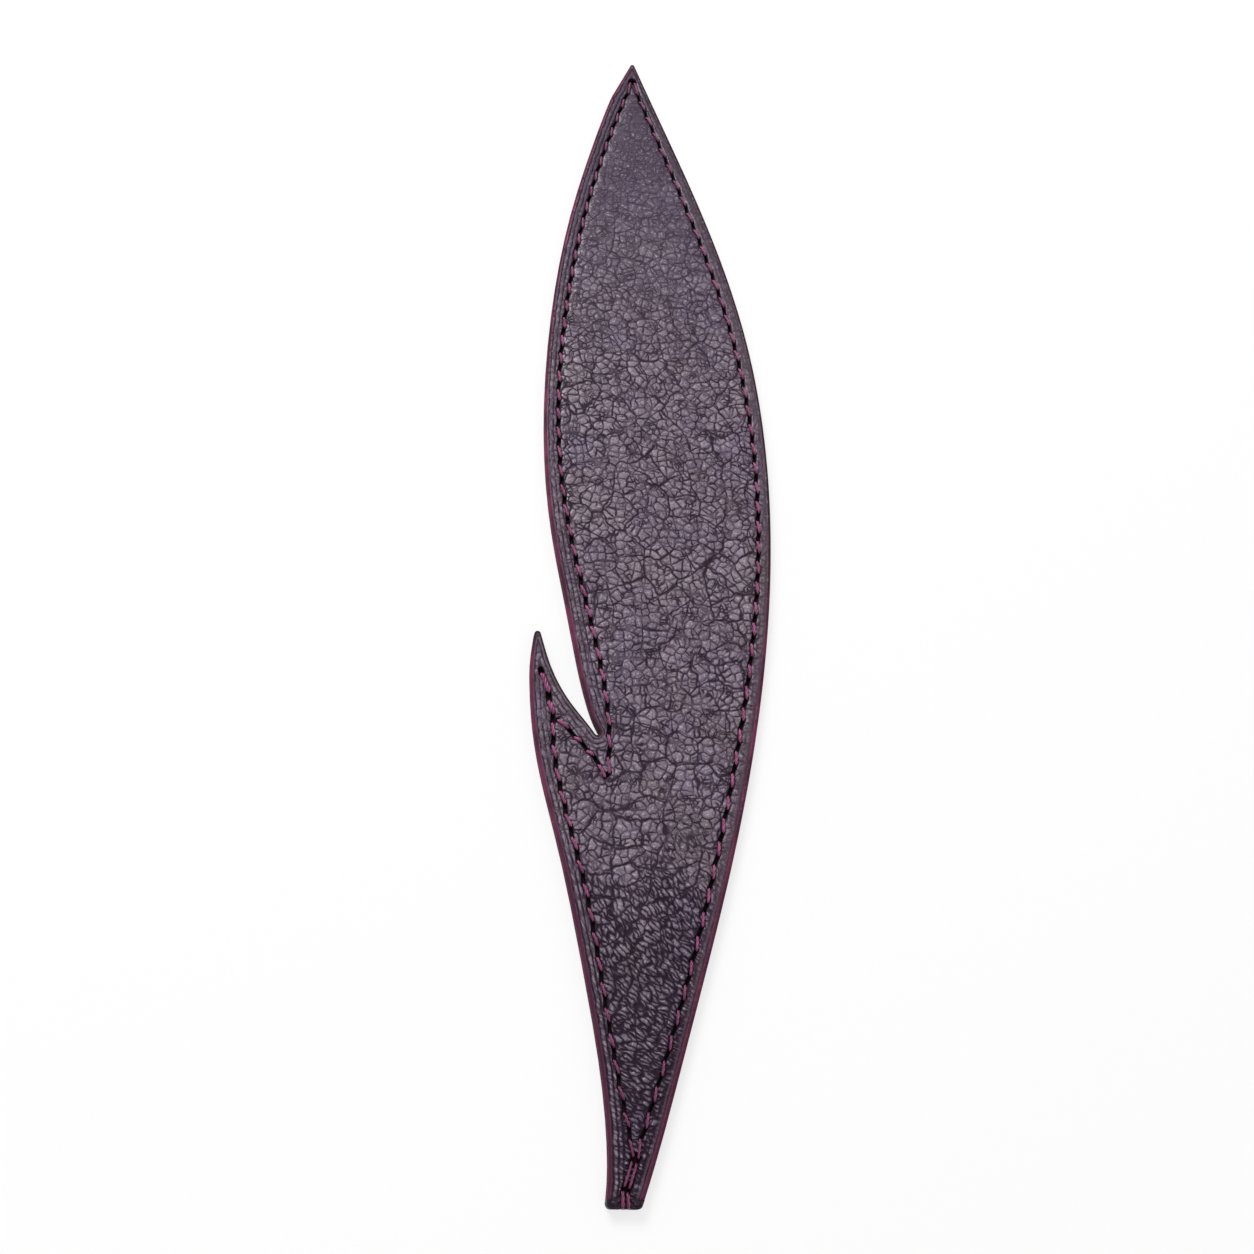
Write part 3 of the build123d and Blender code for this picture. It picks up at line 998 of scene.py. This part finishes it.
def leatherMaterial(name, seed):
    look = leatherLook
    material, start = newMaterial(name)
    place = objectPlace(start)
    field = grainField(place, seed)
    zones = edgeZones(start, place, field)
    # dark is painted shade in the creases, folds, wrinkles, pressed lines and grooves, and round the holes
    dark = field["line"].most(field["fold"] * look["foldShare"])
    dark = dark.most(field["wrinkle"] * field["patch"].ramp(*look["wrinkleShare"])) * zones["gate"]
    dark = dark.most(zones["pressed"] * look["lineShare"]).most(zones["shadedGrooves"] * look["grooveShadeShare"])
    dark = dark.most(zones["holes"])
    height = field["pebble"] * look["pebbleBump"] - field["line"] * look["lineBump"]
    height = height - field["fold"] * look["foldBump"] - field["wrinkle"] * look["wrinkleBump"]
    height = height * zones["gate"] - zones["pressed"] * leatherRelief["lineDepth"]
    height = height - zones["shadedGrooves"] * look["grooveBump"]
    height = height + place.noise(look["pore"]) * look["poreBump"]
    matt = zones["cutEnd"].most(zones["smear"]).most(zones["shade"] * look["shadeMatt"])
    coat = dark.ramp(*look["gloss"]) * (1 - zones["painted"] * look["paintMatt"])
    surface = {
        "Base Color": leatherColour(place, field, zones, dark),
        "Roughness": dark.ramp(*look["roughness"]),
        "Coat Weight": coat * (1 - matt * look["stripMatt"]),
    }
    finishMaterial(start, surface, height.bump(mm), look["plain"])
    return material


def evenLoop(loop, spacing, leastGap=0.4):  # the gap is a share of the spacing
    points = []
    for here, there in zip(loop, np.roll(loop, -1, axis=0)):
        count = max(1, round(np.linalg.norm(there - here) / spacing))
        points += [here + (there - here) * i / count for i in range(count)]
    kept = [points[0]]
    for point in points[1:]:
        if np.linalg.norm(point - kept[-1]) > leastGap * spacing:
            kept.append(point)
    return np.array(kept)


def pointsInside(loops, spacing, rimGap=0.6):  # rows of points inside the outline and outside the holes
    starts = np.concatenate(loops)
    ends = np.concatenate([np.roll(loop, -1, axis=0) for loop in loops])
    step = spacing * math.sqrt(0.75)
    found = []
    for row, y in enumerate(np.arange(starts[:, 1].min() + step / 2, starts[:, 1].max(), step)):
        crossing = (starts[:, 1] > y) != (ends[:, 1] > y)
        a, b = starts[crossing], ends[crossing]
        xs = np.sort(a[:, 0] + (b[:, 0] - a[:, 0]) * (y - a[:, 1]) / (b[:, 1] - a[:, 1]))
        shift = 0.5 * (row % 2)
        for low, high in zip(xs[::2], xs[1::2]):
            columns = np.arange(math.ceil(low / spacing - shift), math.floor(high / spacing - shift) + 1)
            found += [((k + shift) * spacing, y) for k in columns]
    found = np.array(found)
    return found[distanceTo(found, starts) > rimGap * spacing]


def nearestTo(points, samples):  # distance to the nearest sample, and which one it is
    tree = KDTree(len(samples))
    for i, sample in enumerate(samples):
        tree.insert((sample[0], sample[1], 0), i)
    tree.balance()
    found = [tree.find((x, y, 0)) for x, y in points]
    return np.array([f[2] for f in found]), np.array([f[1] for f in found])


def distanceTo(points, samples):
    return nearestTo(points, samples)[0]


def samplesAlong(lines, spacing=0.1):
    samples = []
    for line in lines:
        line = np.array(line)
        samples.append(evenPoints(line, max(2, round(lineLength(line) / spacing))))
    return np.concatenate(samples)


def paintLaps(outline):  # widest low on the right edge, thin high on it and in the notch
    paint = paintedEdge
    way = np.roll(outline, -paint["lapReach"], axis=0) - np.roll(outline, paint["lapReach"], axis=0)
    outward = rightOf(way / np.linalg.norm(way, axis=1)[:, None])
    facing = np.clip(outward[:, 0] / paint["lapFacing"], 0, 1)
    thin = np.clip((outline[:, 1] - paint["thinFrom"]) / paint["thinRise"], 0, 1)
    thin[(outline[:, 0] < paint["thinNotch"][0]) & (outline[:, 1] > paint["thinNotch"][1])] = 1
    right = paint["wideLap"] + (paint["thinLap"] - paint["wideLap"]) * thin
    return paint["thickness"] + paint["lap"] + (right - paint["lap"]) * facing


def inLeather(places, loops):  # true inside the outline and outside the holes
    inside = np.zeros(len(places), bool)
    for loop in loops:
        for (ax, ay), (bx, by) in zip(loop, np.roll(loop, -1, axis=0)):
            level = (ay > places[:, 1]) != (by > places[:, 1])
            rows = places[level]
            crossing = ax + (bx - ax) * (rows[:, 1] - ay) / (by - ay) if by != ay else rows[:, 0]
            inside[level] ^= rows[:, 0] < crossing
    return inside


def triangles(loops, others):  # the rim's points come first, so both faces of a panel number them alike
    rim = np.concatenate(loops)
    edges = []
    for loop in loops:
        first = len(edges)
        edges += [(first + i, first + (i + 1) % len(loop)) for i in range(len(loop))]
    points = np.concatenate([rim, others])
    found = delaunay_2d_cdt([Vector(p) for p in points], edges, [], 0, tiny, False)
    points = np.array([v[:] for v in found[0]])
    faces = np.array(found[2])
    doubtful = (faces < len(rim)).all(axis=1)
    kept = np.ones(len(faces), bool)
    kept[doubtful] = inLeather(points[faces[doubtful]].mean(axis=1), loops)
    return points, faces[kept]


noPoints = np.empty((0, 2))


def slabMesh(name, outer, inner, outerHeight, innerHeight):  # two flat faces of one rim, and its walls
    points, faces = outer
    innerPoints, innerFaces = inner
    count = len(points)
    sides = np.concatenate([np.stack([faces[:, i], faces[:, (i + 1) % 3]], axis=1) for i in range(3)])
    codes = sides[:, 0] * count + sides[:, 1]
    rim = sides[~np.isin(codes, sides[:, 1] * count + sides[:, 0])]
    walls = [(a, count + a, count + b, b) for a, b in rim.tolist()]
    heights = np.concatenate([np.full(count, outerHeight), np.full(len(innerPoints), innerHeight)])
    places = np.concatenate([np.concatenate([points, innerPoints]), heights[:, None]], axis=1) * mm
    allFaces = faces.tolist() + walls + (innerFaces[:, ::-1] + count).tolist()
    mesh = bpy.data.meshes.new(name)
    mesh.from_pydata(places.tolist(), [], allFaces)
    if outerHeight < innerHeight:
        mesh.flip_normals()
    return mesh


def panelPiece(name, panel, tree, finish):
    loops = [evenLoop(leatherLoops[0], panel["spacing"])]
    loops += [evenLoop(loop, leatherRelief["slotSpacing"]) for loop in slots[panel["node"]]]
    outer = triangles(loops, pointsInside(loops, panel["spacing"]))
    inner = triangles(loops, noPoints)
    mesh = slabMesh(name, outer, inner, panel["outer"], panel["inner"])
    allPoints = np.concatenate([outer[0], inner[0]])
    outline = samplesAlong([closed(leatherLoops[0])])
    edge, nearest = nearestTo(allPoints, outline)
    bare = allPoints[:, 1] < onFrame((0, leatherRelief["paintStop"]))[1]
    radius = leatherRelief["endRadius"]
    inside = np.clip(radius - edge, 0, radius)
    seams = [row.holes for row in stitchRows.values()]
    seams.append([mergeHole, quillHole, wrapEnd])
    fields = {
        "edgeDistance": edge + paintedEdge["thickness"],
        "paintLap": np.where(bare, 0.0, paintLaps(outline)[nearest]),
        "endDrop": np.where(bare, radius - np.sqrt(radius**2 - inside**2), 0.0),
        "threadDistance": distanceTo(allPoints, samplesAlong(stitches[panel["node"]])),
        "seamDistance": distanceTo(allPoints, samplesAlong(seams)),
        "holeDistance": distanceTo(allPoints, np.concatenate(loops[1:])),
        "outerFace": np.concatenate([np.ones(len(outer[0])), np.zeros(len(inner[0]))]),
    }
    for label, values in fields.items():
        keepOnMesh(mesh, label, values)
    piece = newPiece(name, mesh)
    side = 1.0 if panel["outer"] > panel["inner"] else -1.0
    runTree(piece, tree, {"Side": side, "Seed": panel["seed"], "Finish": finish})
    print(name, len(piece.data.polygons), "faces")
    return piece


reliefNodes = panelTree()
panelPieces = []
for side, panel in leatherPanels.items():
    finish = leatherMaterial(side + "Leather", panel["seed"])
    piece = panelPiece("grained_" + side, panel, reliefNodes, finish)
    panelPieces.append((piece, panel))

# The glue is a whole sheet, closed round the threads that pass through it, coloured near-black as painted
# shade where it shows in the slots
driedGlue = {
    "top": 1.1,
    "foot": 1.0,
    # near-black: painted shade, as the glue shows only deep in the slots
    "colour": (0.020, 0.009, 0.014, 1),
    "dark": (0.010, 0.004, 0.007, 1),
    "clump": 0.5,
    "clumpDepth": 0.02,
    "spread": (0.3, 0.7),
    "roughness": (0.5, 0.7),
    "plain": {"Specular IOR Level": 0.1},
}


def glueMaterial(glue):
    material, start = newMaterial("driedGlue")
    clumps = objectPlace(start).noise(glue["clump"], 3.0)
    colour = clumps.ramp(*glue["spread"]).blend(glue["dark"], glue["colour"])
    surface = {"Base Color": colour, "Roughness": clumps.ramp(*glue["spread"], *glue["roughness"])}
    finishMaterial(start, surface, clumps.bump(glue["clumpDepth"] * mm), glue["plain"])
    return material


glueFlat = triangles([leatherLoops[0]], noPoints)
glueMesh = slabMesh("glue_sheet", glueFlat, glueFlat, driedGlue["top"], driedGlue["foot"])
glueMesh.materials.append(glueMaterial(driedGlue))
gluePiece = newPiece("glue_sheet", glueMesh)
print(gluePiece.name, len(glueMesh.polygons), "faces")

# The painted edge keeps its solid
edgePaint = cadNodes["edge_paint"].data
edgePaint.materials.clear()
edgePaint.materials.append(paintMaterial())
print("materials made")

# White table, soft light from the far side, and the photograph's camera
studio = {
    "sweep": [(1.2, 0.0), (1.45, 0.015), (1.65, 0.07), (1.8, 0.17), (1.88, 0.32), (1.9, 0.6)],
    "sweepSides": 96,
    "tableDrop": 0.00002,
    "tableColour": (0.9, 0.9, 0.9, 1),
    "tableGlow": 0.72,
    "sky": (0.25, 0.75, 0.5, 0.6),  # brighter overhead than low down
    "lampPlace": (-0.35, 0.60, 0.70),
    "lampSize": 0.45,
    "lampPower": 8.0,
}
photoView = {
    "focal": 1500.0,  # in pixels of the frame
    "frame": 1254.0,
    "sensor": 36.0,
    "clip": (0.01, 10.0),
    "place": (-38.537, -105.918, 213.246),
    "right": (0.986475, 0.009405, 0.163639),
    "up": (-0.072899, 0.919354, 0.386619),
    "back": (-0.146806, -0.393319, 0.907606),
}


def tableMaterial():
    material, start = newMaterial("whiteTable")
    rays = start.make("ShaderNodeLightPath").socket.node.outputs
    seen = 0.0
    for ray in ("Is Camera Ray", "Is Glossy Ray", "Is Transmission Ray"):
        seen = Wire(start.tree, rays[ray]) + seen
    matt = start.make("ShaderNodeBsdfDiffuse", None, {"Color": studio["tableColour"]})
    glow = start.make("ShaderNodeEmission", None, {"Color": white, "Strength": 1.0})
    sockets = {0: seen.least(1.0) * studio["tableGlow"], 1: matt, 2: glow}
    both = start.make("ShaderNodeMixShader", None, sockets)
    start.make("ShaderNodeOutputMaterial", None, {"Surface": both})
    return material


def tableMesh():  # a round table top that sweeps up far behind the bookmark on every side
    sides = studio["sweepSides"]
    points = [(0, 0, -studio["tableDrop"])]
    faces = []
    for radius, height in studio["sweep"]:
        first = len(points)
        level = height - studio["tableDrop"]
        for i in range(sides):
            turn = math.tau * i / sides
            points.append((radius * math.cos(turn), radius * math.sin(turn), level))
            after = (i + 1) % sides
            inner = (0,) if first == 1 else (first - sides + after, first - sides + i)
            faces.append((*inner, first + i, first + after))
    mesh = bpy.data.meshes.new("table")
    mesh.from_pydata(points, [], faces)
    mesh.shade_smooth()
    return mesh


def buildStudio():
    mesh = tableMesh()
    mesh.materials.append(tableMaterial())
    newPiece("table", mesh)
    world = bpy.data.worlds.new("studio")
    scene.world = world
    world.use_nodes = True
    world.node_tree.nodes.clear()
    start = Wire(world.node_tree)
    height = start.make("ShaderNodeTexCoord", None, None, "Generated").parts()[2]
    sockets = {"Color": white, "Strength": height.ramp(*studio["sky"])}
    sky = start.make("ShaderNodeBackground", None, sockets)
    start.make("ShaderNodeOutputWorld", None, {"Surface": sky})
    lamp = bpy.data.lights.new("softLamp", "AREA")
    lamp.shape = "SQUARE"
    lamp.size = studio["lampSize"]
    lamp.energy = studio["lampPower"]
    holder = bpy.data.objects.new("softLamp", lamp)
    holder.location = studio["lampPlace"]
    holder.rotation_euler = (-Vector(studio["lampPlace"])).to_track_quat("-Z", "Y").to_euler()
    scene.collection.objects.link(holder)


def buildCamera():
    camera = bpy.data.cameras.new("photoView")
    camera.sensor_width = photoView["sensor"]
    camera.lens = photoView["sensor"] * photoView["focal"] / photoView["frame"]
    camera.clip_start, camera.clip_end = photoView["clip"]
    holder = bpy.data.objects.new("photoView", camera)
    turn = Matrix([photoView["right"], photoView["up"], photoView["back"]]).transposed()
    holder.matrix_world = Matrix.Translation(Vector(photoView["place"]) * mm) @ turn.to_4x4()
    scene.collection.objects.link(holder)
    scene.camera = holder


buildStudio()
buildCamera()
scene.view_settings.view_transform = "Standard"
print("table, light and camera set")

for piece, name in threadPieces:
    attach(piece, "root")
    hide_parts(name)
for piece, panel in panelPieces:
    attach(piece, "root")
    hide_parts(panel["node"])
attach(gluePiece, "root")
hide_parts("glue_film")

print("pieces ride on the frame")
